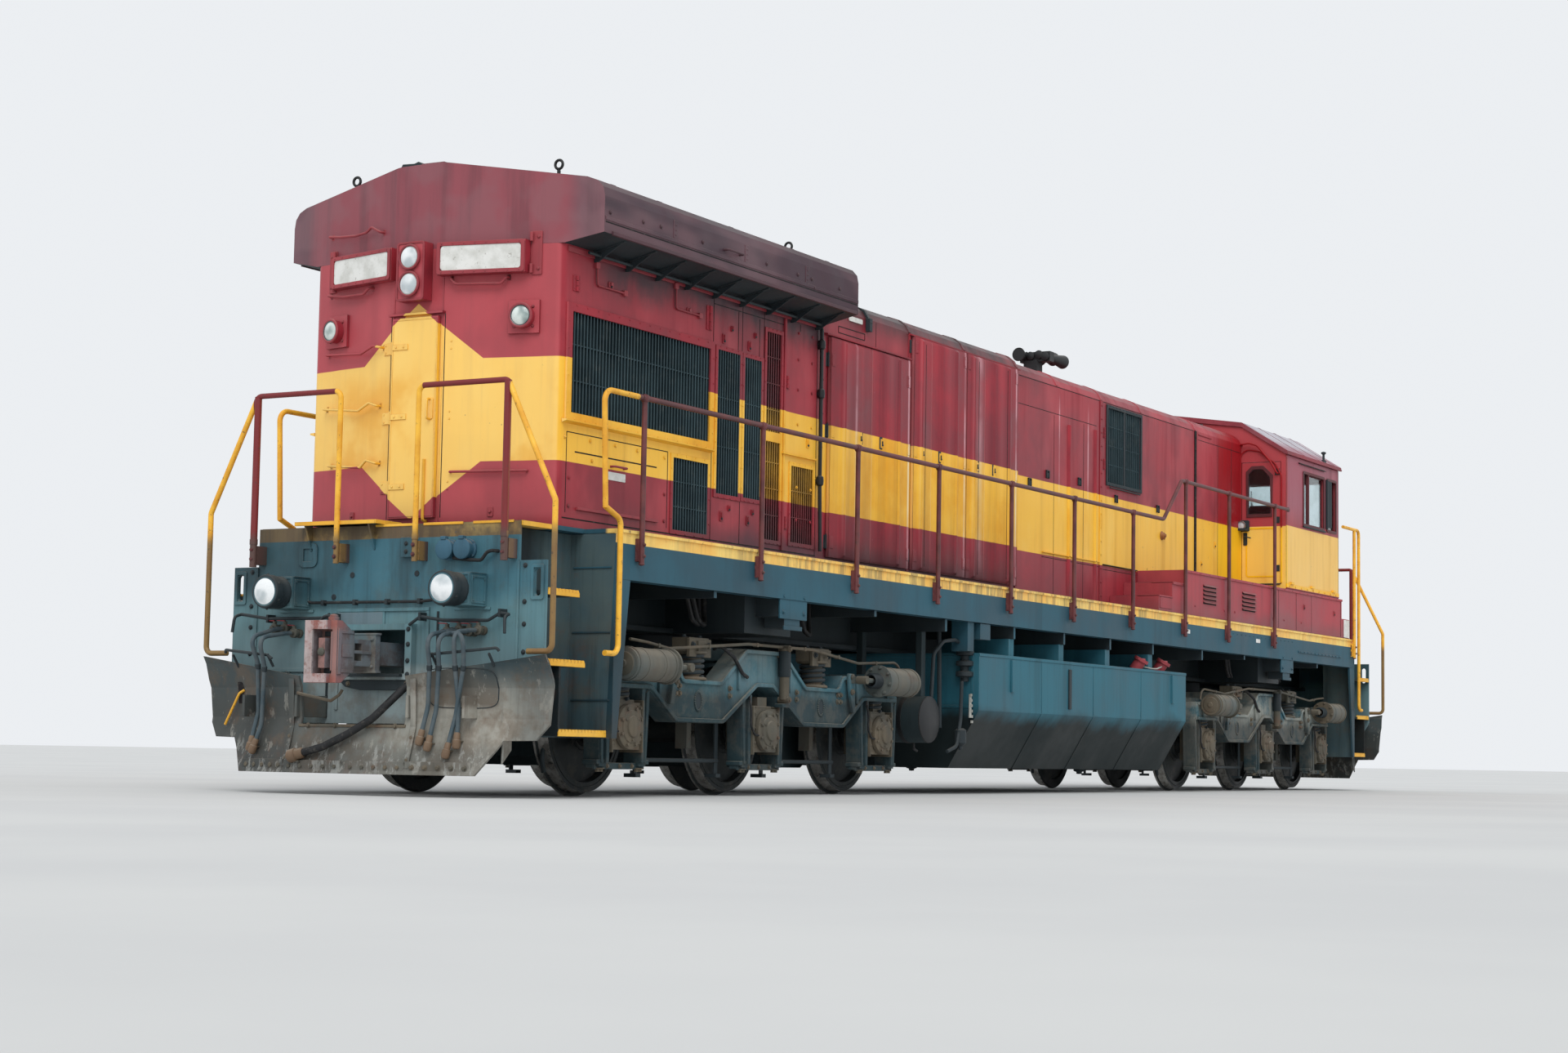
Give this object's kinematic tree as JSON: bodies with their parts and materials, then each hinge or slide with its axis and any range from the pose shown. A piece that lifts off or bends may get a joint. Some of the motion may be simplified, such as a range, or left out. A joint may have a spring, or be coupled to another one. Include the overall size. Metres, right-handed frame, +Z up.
{
  "type": "six-axle hood-type diesel locomotive",
  "caption": "Broad-gauge road diesel locomotive: V-fronted radiator hood with overhanging roof, hinged hood doors, full-width cab, swivelling bogies and swinging couplers.",
  "frame": {"origin": "on the centreline midway between the bogies, at the lowest point of the wheel flanges", "axes": "+X towards the cab end, +Y to the left, +Z up"},
  "size_m": [20.79, 3.242, 4.8069],
  "materials": {
    "hood_paint": "semi-gloss paint, weathered",
    "roof_paint": "weathered matt paint",
    "frame_paint": "satin paint with road dirt",
    "bogie_paint": "satin paint with road dirt",
    "wheel_steel": "rusty steel, worn tread",
    "machine_iron": "grimy cast iron",
    "coupler_iron": "rusty cast steel",
    "grille": "dark grille",
    "glass": "clear window glass",
    "seat_cover": "dark seat cover",
    "desk_paint": "matt paint",
    "handrail_paint": "gloss paint, worn",
    "lamp_casing": "painted casing",
    "horn_metal": "sooty metal"
  },
  "bodies": {
    "underframe": {"air_reservoirs": "frame_paint", "cab_glass": "glass", "cab_roof": "roof_paint", "cab_seats": "seat_cover", "cab_shell": "hood_paint", "control_desk": "desk_paint", "control_hood": "hood_paint", "corner_steps": "frame_paint", "engine_block": "machine_iron", "engine_hood": "hood_paint", "front_lamps": "lamp_casing", "fuel_tank": "frame_paint", "handrail_ends": "handrail_paint", "handrail_left": "handrail_paint", "handrail_right": "handrail_paint", "hood_grilles": "grille", "horn": "horn_metal", "nose": "hood_paint", "pilot_plates": "frame_paint", "radiator_hood": "hood_paint", "radiator_roof": "hood_paint", "rear_lamps": "lamp_casing", "snowploughs": "frame_paint", "underframe": "frame_paint", "walkway_boxes": "hood_paint"},
    "rear_bogie": {"rear_bogie_frame": "bogie_paint", "rear_bogie_suspension": "bogie_paint", "rear_brake_gear": "bogie_paint", "rear_traction_motors": "machine_iron"},
    "rear_wheelset_1": {"rear_wheelset_1": "wheel_steel"},
    "rear_wheelset_2": {"rear_wheelset_2": "wheel_steel"},
    "rear_wheelset_3": {"rear_wheelset_3": "wheel_steel"},
    "front_bogie": {"front_bogie_frame": "bogie_paint", "front_bogie_suspension": "bogie_paint", "front_brake_gear": "bogie_paint", "front_traction_motors": "machine_iron"},
    "front_wheelset_1": {"front_wheelset_1": "wheel_steel"},
    "front_wheelset_2": {"front_wheelset_2": "wheel_steel"},
    "front_wheelset_3": {"front_wheelset_3": "wheel_steel"},
    "rear_coupler": {"rear_coupler": "coupler_iron"},
    "front_coupler": {"front_coupler": "coupler_iron"},
    "engine_door_right_1": {"engine_door_right_1": "hood_paint"},
    "engine_door_right_2": {"engine_door_right_2": "hood_paint"},
    "engine_door_right_3": {"engine_door_right_3": "hood_paint"},
    "engine_door_right_4": {"engine_door_right_4": "hood_paint"},
    "engine_door_right_5": {"engine_door_right_5": "hood_paint"},
    "engine_door_right_6": {"engine_door_right_6": "hood_paint"},
    "engine_door_left_1": {"engine_door_left_1": "hood_paint"},
    "engine_door_left_2": {"engine_door_left_2": "hood_paint"},
    "engine_door_left_3": {"engine_door_left_3": "hood_paint"},
    "engine_door_left_4": {"engine_door_left_4": "hood_paint"},
    "engine_door_left_5": {"engine_door_left_5": "hood_paint"},
    "engine_door_left_6": {"engine_door_left_6": "hood_paint"},
    "radiator_end_door": {"radiator_end_door": "hood_paint"},
    "nose_door": {"nose_door": "hood_paint"},
    "cab_door_right": {"cab_door_right": "hood_paint"},
    "cab_door_left": {"cab_door_left": "hood_paint"}
  },
  "joints": [
    {"name": "rear_bogie_swivel", "type": "hinge", "parent": "underframe", "child": "rear_bogie", "pos_m": [-6.185, 0, 1.2], "axis": [0, 0, 1], "range_deg": [-4, 4]},
    {"name": "rear_axle_1", "type": "hinge", "parent": "rear_bogie", "child": "rear_wheelset_1", "pos_m": [-8.255, 0, 0.536], "axis": [0, 1, 0], "continuous": true},
    {"name": "rear_axle_2", "type": "hinge", "parent": "rear_bogie", "child": "rear_wheelset_2", "pos_m": [-6.164, 0, 0.536], "axis": [0, 1, 0], "continuous": true},
    {"name": "rear_axle_3", "type": "hinge", "parent": "rear_bogie", "child": "rear_wheelset_3", "pos_m": [-4.115, 0, 0.536], "axis": [0, 1, 0], "continuous": true},
    {"name": "front_bogie_swivel", "type": "hinge", "parent": "underframe", "child": "front_bogie", "pos_m": [6.185, 0, 1.2], "axis": [0, 0, 1], "range_deg": [-4, 4]},
    {"name": "front_axle_1", "type": "hinge", "parent": "front_bogie", "child": "front_wheelset_1", "pos_m": [8.255, 0, 0.536], "axis": [0, 1, 0], "continuous": true},
    {"name": "front_axle_2", "type": "hinge", "parent": "front_bogie", "child": "front_wheelset_2", "pos_m": [6.164, 0, 0.536], "axis": [0, 1, 0], "continuous": true},
    {"name": "front_axle_3", "type": "hinge", "parent": "front_bogie", "child": "front_wheelset_3", "pos_m": [4.115, 0, 0.536], "axis": [0, 1, 0], "continuous": true},
    {"name": "rear_coupler_swing", "type": "hinge", "parent": "underframe", "child": "rear_coupler", "pos_m": [-8.98, 0, 1.028], "axis": [0, 0, 1], "range_deg": [-7, 7]},
    {"name": "front_coupler_swing", "type": "hinge", "parent": "underframe", "child": "front_coupler", "pos_m": [8.98, 0, 1.028], "axis": [0, 0, 1], "range_deg": [-7, 7]},
    {"name": "engine_door_right_1_hinge", "type": "hinge", "parent": "underframe", "child": "engine_door_right_1", "pos_m": [-4.813, -1.058, 2.085], "axis": [0, 0, -1], "range_deg": [0, 35]},
    {"name": "engine_door_right_2_hinge", "type": "hinge", "parent": "underframe", "child": "engine_door_right_2", "pos_m": [-3.266, -1.058, 2.085], "axis": [0, 0, 1], "range_deg": [0, 35]},
    {"name": "engine_door_right_3_hinge", "type": "hinge", "parent": "underframe", "child": "engine_door_right_3", "pos_m": [-3.185, -1.058, 2.085], "axis": [0, 0, -1], "range_deg": [0, 55]},
    {"name": "engine_door_right_4_hinge", "type": "hinge", "parent": "underframe", "child": "engine_door_right_4", "pos_m": [-2.061, -1.058, 2.085], "axis": [0, 0, 1], "range_deg": [0, 35]},
    {"name": "engine_door_right_5_hinge", "type": "hinge", "parent": "underframe", "child": "engine_door_right_5", "pos_m": [-2.043, -1.058, 2.085], "axis": [0, 0, -1], "range_deg": [0, 50]},
    {"name": "engine_door_right_6_hinge", "type": "hinge", "parent": "underframe", "child": "engine_door_right_6", "pos_m": [-0.853, -1.058, 2.085], "axis": [0, 0, 1], "range_deg": [0, 33]},
    {"name": "engine_door_left_1_hinge", "type": "hinge", "parent": "underframe", "child": "engine_door_left_1", "pos_m": [-4.813, 1.058, 2.085], "axis": [0, 0, 1], "range_deg": [0, 35]},
    {"name": "engine_door_left_2_hinge", "type": "hinge", "parent": "underframe", "child": "engine_door_left_2", "pos_m": [-3.266, 1.058, 2.085], "axis": [0, 0, -1], "range_deg": [0, 35]},
    {"name": "engine_door_left_3_hinge", "type": "hinge", "parent": "underframe", "child": "engine_door_left_3", "pos_m": [-3.185, 1.058, 2.085], "axis": [0, 0, 1], "range_deg": [0, 55]},
    {"name": "engine_door_left_4_hinge", "type": "hinge", "parent": "underframe", "child": "engine_door_left_4", "pos_m": [-2.061, 1.058, 2.085], "axis": [0, 0, -1], "range_deg": [0, 35]},
    {"name": "engine_door_left_5_hinge", "type": "hinge", "parent": "underframe", "child": "engine_door_left_5", "pos_m": [-2.043, 1.058, 2.085], "axis": [0, 0, 1], "range_deg": [0, 50]},
    {"name": "engine_door_left_6_hinge", "type": "hinge", "parent": "underframe", "child": "engine_door_left_6", "pos_m": [-0.853, 1.058, 2.085], "axis": [0, 0, -1], "range_deg": [0, 33]},
    {"name": "radiator_end_door_hinge", "type": "hinge", "parent": "underframe", "child": "radiator_end_door", "pos_m": [-9.40376, 0.215, 2.06], "axis": [0, 0, -1], "range_deg": [0, 90]},
    {"name": "nose_door_hinge", "type": "hinge", "parent": "underframe", "child": "nose_door", "pos_m": [9.208, 0.265, 2.085], "axis": [0, 0, 1], "range_deg": [0, 90]},
    {"name": "cab_door_right_hinge", "type": "hinge", "parent": "underframe", "child": "cab_door_right", "pos_m": [6.117, -1.43, 2.562], "axis": [0, 0, 1], "range_deg": [0, 90]},
    {"name": "cab_door_left_hinge", "type": "hinge", "parent": "underframe", "child": "cab_door_left", "pos_m": [8.2, 1.43, 2.562], "axis": [0, 0, 1], "range_deg": [0, 90]}
  ]
}
